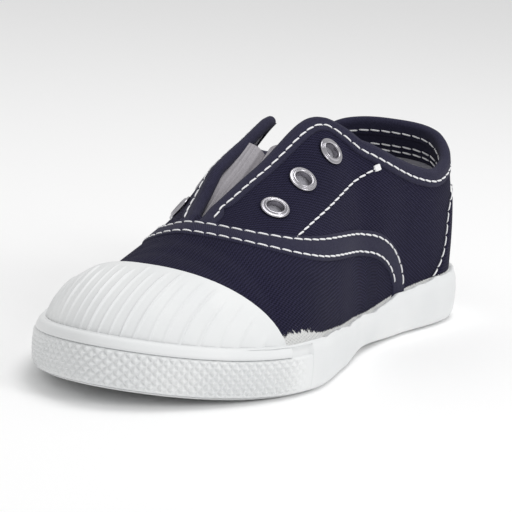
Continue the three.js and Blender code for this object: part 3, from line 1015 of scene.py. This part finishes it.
def buildGusset():
    rows, share = np.linspace(0, 1, 80)[:, None], np.linspace(-1, 1, 91)[None, :]
    far, bend, half = np.abs(share), gusset["wingShare"], gusset["half"]
    wing = half + (far - bend) / (1 - bend) * (gusset["wing"] - half)
    middle = np.sign(share) * np.where(far < bend, far / bend * half, wing)
    off = np.abs(middle) / half
    rear = gusset["rear"] - gusset["dip"] * np.maximum(1 - off ** 2, 0)
    front = gusset["front"] + gusset["wingBack"] * ease(off, 0.6, 2)
    x, y = np.broadcast_arrays(throat["centre"] + middle, front + (rear - front) * rows)
    u, v = overPlan(x, y, -gusset["depth"])
    parted, aside = ease(y, -27, -8), np.abs(middle)
    fold = -gusset["fold"] * bump(middle, 0, gusset["foldWidth"]) * parted
    puff = gusset["puff"] * bump(aside, gusset["puffAt"], gusset["puffWidth"]) * ease(-aside, -9, -4)
    fold = fold + puff * parted - gusset["wingDrop"] * ease(aside, 8, 10)
    fold = fold + clothLift(u, v) * ease(-middle, 2, 6)
    normal = clothNormal(u, v)
    top = upperPoint(u, v, -gusset["depth"]) + normal * fold[..., None]
    panel = (top, top - normal * gusset["thick"], {"weave": together(y, x)})
    makeSheet("gusset_elastic", [panel], elasticMat, replaces=["gusset"])


buildGusset()
print("gusset made")

# Rubber toe cap with fine ribs running back over the toe
toeCap = {
    "over": 1.5, "under": 0.35, "pitch": 2.7, "ridge": 0.45, "ridgeWidth": 0.24, "step": 0.25, "wander": 0.12,
    "rearMiddle": -59, "rearSide": 13, "rearReach": 32, "fade": 8, "lip": 1.1, "lipReach": 0.9, "tuck": 1.2,
    "columns": 300, "rows": 130,
}


def capColumns():  # for each x, the line over the toe from the feather back to the rear arc
    lift = toeCap["over"]
    uFine = np.linspace(0.001, 0.40, 1600)
    base, medial, lateral, halfLength = section(alongAt(uFine), lift)
    y = -halfLength * np.cos(np.pi * uFine)

    def rearAt(x):
        return toeCap["rearMiddle"] + toeCap["rearSide"] * ((x - last["spine"]) / toeCap["rearReach"]) ** 2

    ends = [line[np.argmin(np.abs(y - rearAt(line)))] for line in (base - lateral, base + medial)]
    xs = np.linspace(ends[0] + 0.05, ends[1] - 0.05, toeCap["columns"])
    columns = []
    for x in xs:
        reached = np.abs(x - base) <= np.where(x >= base, medial, lateral)
        u = uFine[reached & (y <= rearAt(x))]
        if len(u) < 4:
            u = np.linspace(uFine[np.argmax(reached)], uFine[np.argmax(y > rearAt(x)) - 1], 4)
        v = roundAt(u, x, lift)
        line = np.concatenate([upperPoint(u, v, lift), u[:, None], v[:, None]], 1)
        columns.append(evenly(line, toeCap["rows"])[:, 3:])
    return xs, np.array(columns)


def buildToeCap():
    xs, columns = capColumns()
    u, v = columns[..., 0], columns[..., 1]
    base, normal = upperPoint(u, v, toeCap["over"]), clothNormal(u, v)
    run, pitch = runAlong(base), toeCap["pitch"]
    left = run[:, -1:] - run
    fromSpine = xs[:, None] - last["spine"]
    wander = toeCap["wander"] * np.sin(run / 9 + xs[:, None] * 0.7)
    phase = ((fromSpine + wander) / pitch) % 1
    near = np.minimum(phase, 1 - phase) * pitch
    line = np.exp(-(near / toeCap["ridgeWidth"]) ** 2) * toeCap["ridge"]
    step = (phase - 0.5) * toeCap["step"] * (1 - np.exp(-(near / 0.3) ** 2))
    number = np.floor(fromSpine / pitch + 0.5)
    fadeAt = toeCap["fade"] * (0.8 + 0.35 * np.sin(number * 2.3))
    strength = ease(left, fadeAt * 0.35, fadeAt) * (0.75 + 0.25 * np.sin(number * 1.7))
    lip = -toeCap["lip"] * (1 - ease(left, 0, toeCap["lipReach"])) ** 2
    t = alongAt(u)
    tuck = ease(base[..., 2] - soleBottom(t) - station("wall", t), -3, -0.6) - 1
    lift = (line + step) * strength + lip + tuck * toeCap["tuck"]
    panel = (base + normal * lift[..., None], upperPoint(u, v, toeCap["under"]), {})
    makeSheet("toe_cap_ribbed", [panel], rubberMat, replaces=["toe_cap"], sharp=80)


buildToeCap()
print("toe cap made")

# Rubber sole: wall, rim, inner cup and tread in one loft
sole = {
    "stations": 330, "recess": 0.7, "recessLow": 0.9, "recessHigh": 12.2, "recessEnd": 0.285,
    "groove": 0.8, "groovePitch": 4.2, "grooveWidth": 0.75, "treadInset": 4.5,
    # inner cup: inset and drop below the wall's top, after the row on the cup's floor
    "floorInset": 7.0, "cup": [(4.6, 2.4), (3.1, 1.2), (2.1, 0.35), (1.55, 0.06)],
}


def wallInset(share):
    return curve(wallProfile["rise"], wallProfile["inset"], share)


def buildOutsole():
    u = np.linspace(0, 1, sole["stations"])
    t = alongAt(u)
    wall, low = station("wall", t), soleBottom(t)
    ripple = 0.22 * np.sin(u * 61) + 0.15 * np.sin(u * 137 + 1) + 0.1 * np.sin(u * 263 + 2)
    ripple = ripple * ease(t, 0.26, 0.32)
    middle = np.concatenate([np.linspace(0.985, 0.93, 4), np.linspace(0.9, 0.08, 26)])
    heights = [1.0, *middle, 0.055, 0.03, 0.012, 0]
    rings = []
    for side in (1, -1):
        ring = [outlinePoint(u, side, sole["floorInset"], low + last["soleThickness"] + 0.15)]
        for inset, drop in sole["cup"]:
            ring.append(outlinePoint(u, side, inset, low + wall - drop + ripple * (drop < 1)))
        for share in heights:
            z = share * wall
            inset = wallInset(share) + (0.12 if share == 1.0 else 0)
            band = ease(z, sole["recessLow"] - 0.1, sole["recessLow"] + 0.1)
            band = band * (1 - ease(z, sole["recessHigh"] - 0.1, sole["recessHigh"] + 0.1))
            band = band * (1 - ease(t, sole["recessEnd"] - 0.004, sole["recessEnd"]))
            z = low + z + ripple * ease(share, 0.85, 1)
            ring.append(outlinePoint(u, side, inset + sole["recess"] * band, z))
        rings.append(np.stack(ring, 1))
    medial, lateral = rings
    across = np.linspace(0, 1, 90)[1:-1]

    def span(row, shares):
        return medial[:, row] * (1 - shares[None, :, None]) + lateral[:, row] * shares[None, :, None]

    bottom = span(slice(-1, None), across)
    x, y = bottom[..., 0], bottom[..., 1]
    edge = np.minimum(*(np.linalg.norm(bottom - side[:, -1:], axis=-1) for side in (medial, lateral)))
    ends = np.minimum(y - y.min(), y.max() - y)
    wave = (y + 1.8 * np.abs(((x / 9) % 2) - 1) * 2) / sole["groovePitch"]
    gap = np.abs((wave % 1) - 0.5) * sole["groovePitch"]
    cut = 1 - ease(gap, sole["grooveWidth"] * 0.5, sole["grooveWidth"])
    cut = cut * ease(edge, sole["treadInset"], sole["treadInset"] + 0.6) * ease(ends, 5, 6)
    bottom[..., 2] += sole["groove"] * cut
    cup = span(slice(0, 1), across[::-3][::-1])
    ring = np.concatenate([medial, bottom, lateral[:, ::-1], cup[:, ::-1], medial[:, :1]], 1)
    faces = gridFaces(*ring.shape[:2])
    makePiece("sole_rubber", ring, faces, rubberMat, replaces=["outsole"])


buildOutsole()
print("outsole made")


def aroundToe(end, count):  # stations from the lateral end, round the toe, to the medial end
    u = np.linspace(-stepAt(end), stepAt(end), 2 * count - 1)
    rough = bandPoint(np.abs(u), np.where(u > 0, 1, -1), 0, 5.0)
    even = evenly(np.concatenate([rough, u[:, None]], 1), 2 * count)
    return np.abs(even[:, 3]), np.where(even[:, 3] < 0, -1, 1)


def bandPoint(u, side, inset, z):
    z = soleBottom(alongAt(u)) + z
    return np.where((side > 0)[..., None], outlinePoint(u, 1, inset, z), outlinePoint(u, -1, inset, z))


def layBand(name, u, side, z, inset, back, replaced):  # a strip of rubber round the wall
    u, side = u[:, None] + 0 * z, side[:, None] + 0 * z
    outside, inside = (bandPoint(u, side, depth, z[None, :]) for depth in (inset, np.full(u.shape, back)))
    makeSheet(name, [(outside, inside, {})], rubberMat, replaces=[replaced])


# Toe bumper with a moulded pattern of small pyramids
bumper = {
    "low": 0.9, "high": 9.75, "end": 0.285, "tall": 0.85, "wide": 2.6, "row": 2.3, "back": 1.4,
    "stations": 330, "rows": 46,
}


def buildBumper():
    u, side = aroundToe(bumper["end"], bumper["stations"])
    run = runAlong(bandPoint(u, side, 0, 5.0))
    z = np.linspace(bumper["low"], bumper["high"], bumper["rows"])
    a = run[:, None] / bumper["wide"] + z[None, :] / bumper["row"]
    b = run[:, None] / bumper["wide"] - z[None, :] / bumper["row"]
    peak = np.minimum(1 - np.abs((a % 1) - 0.5) * 2, 1 - np.abs((b % 1) - 0.5) * 2)
    fromEnd = np.minimum(run, run[-1] - run)[:, None]
    foot, top = bumper["low"], bumper["high"]
    strength = ease(fromEnd, 1, 10) * ease(z, foot + 0.1, foot + 0.9) * (1 - ease(z, top - 0.4, top - 0.05))
    height = bumper["tall"] * (np.minimum(peak * 1.15, 0.9) - 0.35) * strength
    inset = wallInset(z[None, :] / station("wall", alongAt(u))[:, None]) - 0.1 * ease(fromEnd, 0, 2) - height
    inset = inset + 0.25 * (1 - strength) * ease(z, top - 0.4, top)
    layBand("bumper_knurled", u, side, z, inset, bumper["back"], "toe_bumper")


buildBumper()

# Smooth rubber strip above the bumper
strip = {
    "low": 9.85, "high": 12.5, "end": 0.24, "proud": 0.25, "back": 2.1, "stations": 240,
    # section: share of the height, and how far the surface falls back there
    "shares": [0, 0.04, 0.12, 0.3, 0.5, 0.7, 0.86, 0.95, 1.0],
    "crown": [0.7, 0.3, 0.08, 0, 0, 0.06, 0.35, 0.85, 1.9],
}


def buildStrip():
    u, side = aroundToe(strip["end"], strip["stations"])
    z = strip["low"] + (strip["high"] - strip["low"]) * np.array(strip["shares"])
    wall = station("wall", alongAt(u))
    fromEnd = np.minimum(np.arange(len(u)), np.arange(len(u))[::-1])[:, None]
    flush = 0.45 * (1 - ease(fromEnd, 0, 1.5))
    inset = wallInset(np.minimum(z[None, :] / wall[:, None], 1)) - strip["proud"] + strip["crown"] + flush
    layBand("strip_smooth", u, side, z, inset, strip["back"], "toe_strip")


buildStrip()
print("toe bumper and strip made")

# Insole: a fabric-covered footbed with a shallow dish
footbed = {"under": 5.3, "top": 8.3, "dish": 0.9, "reach": 1.85}


def buildFootbed():
    u = np.linspace(0.02, 0.995, 160)
    across = np.linspace(0, 1, 61)[None, :]
    t = alongAt(u)
    inset, z = station("foxing", t) + footbed["reach"], soleBottom(t) + footbed["top"]
    medial, lateral = (outlinePoint(u, side, inset, z)[:, None] for side in (1, -1))
    top = medial * (1 - across[..., None]) + lateral * across[..., None]
    under = top.copy()
    top[..., 2] -= footbed["dish"] * (1 - (2 * across - 1) ** 4)
    under[..., 2] -= footbed["top"] - footbed["under"]
    panel = (top, under, {"weave": top[..., :2]})
    makeSheet("insole_fabric", [panel], liningMat, replaces=["insole"])


buildFootbed()
print("insole made")

# Stitching in white thread
stitching = {"rear": (30, 46.5), "front": (-21, 33), "tack": 0.62}  # y and height of the side line's ends


def trim(line, fromStart, fromEnd):
    points, normals = line
    run = runAlong(points)
    keep = (run >= fromStart) & (run <= run[-1] - fromEnd)
    return points[keep], normals[keep]


def insideLine(side, distance, depth):
    points, normals = liftedLine(*edgeLine(side, distance), -depth)
    keep = points[:, 1] > facing["fromY"] + 2
    return points[keep], -normals[keep]


def buildStitches():
    outside, inside = [], []
    for across in (-1, 1):
        u, v = softly(*bandTrack.beside(across * (vampBand["half"] - vampBand["stitchInset"])))
        outside.append(trim(liftedLine(u, v, 0.36), 5, 5))
    for side in (1, -1):
        outside.append(trim(liftedLine(*edgeLine(side, binding["stitch"]), 0.4), 2.5, 0))
        u, v = softly(*Track(*heelPatchLine(side)).beside(side * heelPatch["inset"]))
        outside.append(trim(liftedLine(u, v, heelPatch["thick"]), 5, 0))
        y, z = np.linspace(stitching["rear"], stitching["front"], 120).T
        seam = Track(stepAtY(y), smooth(roundAtHeight(stepAtY(y), z, side), 6))
        outside.append(liftedLine(seam.u, seam.v, 0.02))
        for k in (-1, -0.5, 0, 0.5, 1):  # bar tack at the rear end
            u, v = seam.beside(stitching["tack"] * k)
            outside.append(liftedLine(u[:6], v[:6], 0.15))
        inside.append(insideLine(side, binding["insideStitch"], binding["wall"] + 0.5))
        for distance in facing["rows"]:
            inside.append(insideLine(side, distance, binding["wall"] + facing["thick"]))
    for name, lines in (("stitches_outside", outside), ("stitches_inside", inside)):
        points, faces, maps = threadStitches(lines)
        makePiece(name, points, faces, threadMat, maps, sharp=80)


buildStitches()
print("stitching made")


def addFloor():
    mesh = bpy.data.meshes.new("floor")
    work = bmesh.new()
    bmesh.ops.create_grid(work, x_segments=1, y_segments=1, size=4)
    closeMesh(work, mesh)
    floor = addObject("floor", mesh)
    floor.location.z = boxLow.z - 0.0001
    pale = Shader("paleFloor", Roughness=0.9, Specular_IOR_Level=0.1)
    mesh.materials.append(pale.finish(paint(252, 252, 252)))


addFloor()

studio = {"sky": 0.66, "top": 2.6, "side": 2.4}
world = bpy.data.worlds.new("softWhite")
bpy.context.scene.world = world
world.use_nodes = True
world.node_tree.nodes["Background"].inputs[0].default_value = (1, 1, 1, 1)
seen = world.node_tree.nodes.new("ShaderNodeLightPath")
strength = world.node_tree.nodes.new("ShaderNodeMapRange")
strength.inputs["To Min"].default_value, strength.inputs["To Max"].default_value = studio["sky"], 1.0
world.node_tree.links.new(seen.outputs["Is Camera Ray"], strength.inputs["Value"])
world.node_tree.links.new(strength.outputs[0], world.node_tree.nodes["Background"].inputs[1])
bpy.context.scene.view_settings.view_transform = "Standard"


def addLamp(name, place, aim, size, power):
    lamp = bpy.data.lights.new(name, "AREA")
    lamp.shape, lamp.size, lamp.energy = "DISK", size, power
    piece = addObject(name, lamp)
    piece.location = Vector(place)
    piece.rotation_euler = (Vector(aim) - Vector(place)).to_track_quat("-Z", "Y").to_euler()


addLamp("topLamp", (0.15, 0.1, 0.9), (0, 0, 0), 0.5, studio["top"])
addLamp("sideLamp", (0.95, -0.15, 0.55), (0, 0, 0.03), 0.4, studio["side"])

view = {"azimuth": 28.0, "elevation": 10.8, "roll": 4.2, "distance": 660, "aim": (0, -1.5, 23.5), "lens": 180}


def addCamera():
    a, e, roll = (math.radians(view[k]) for k in ("azimuth", "elevation", "roll"))
    back = Vector((math.sin(a) * math.cos(e), -math.cos(a) * math.cos(e), math.sin(e)))
    right = Vector((math.cos(a), math.sin(a), 0))
    up = back.cross(right)
    tiltRight = right * math.cos(roll) + up * math.sin(roll)
    tiltUp = up * math.cos(roll) - right * math.sin(roll)
    lens = bpy.data.cameras.new("camera")
    lens.sensor_width, lens.lens, lens.clip_start = 36, view["lens"], 0.01
    camera = addObject("camera", lens)
    turn = Matrix((tiltRight, tiltUp, back)).transposed().to_4x4()
    camera.matrix_world = Matrix.Translation((Vector(view["aim"]) + back * view["distance"]) * mm) @ turn
    bpy.context.scene.camera = camera


addCamera()
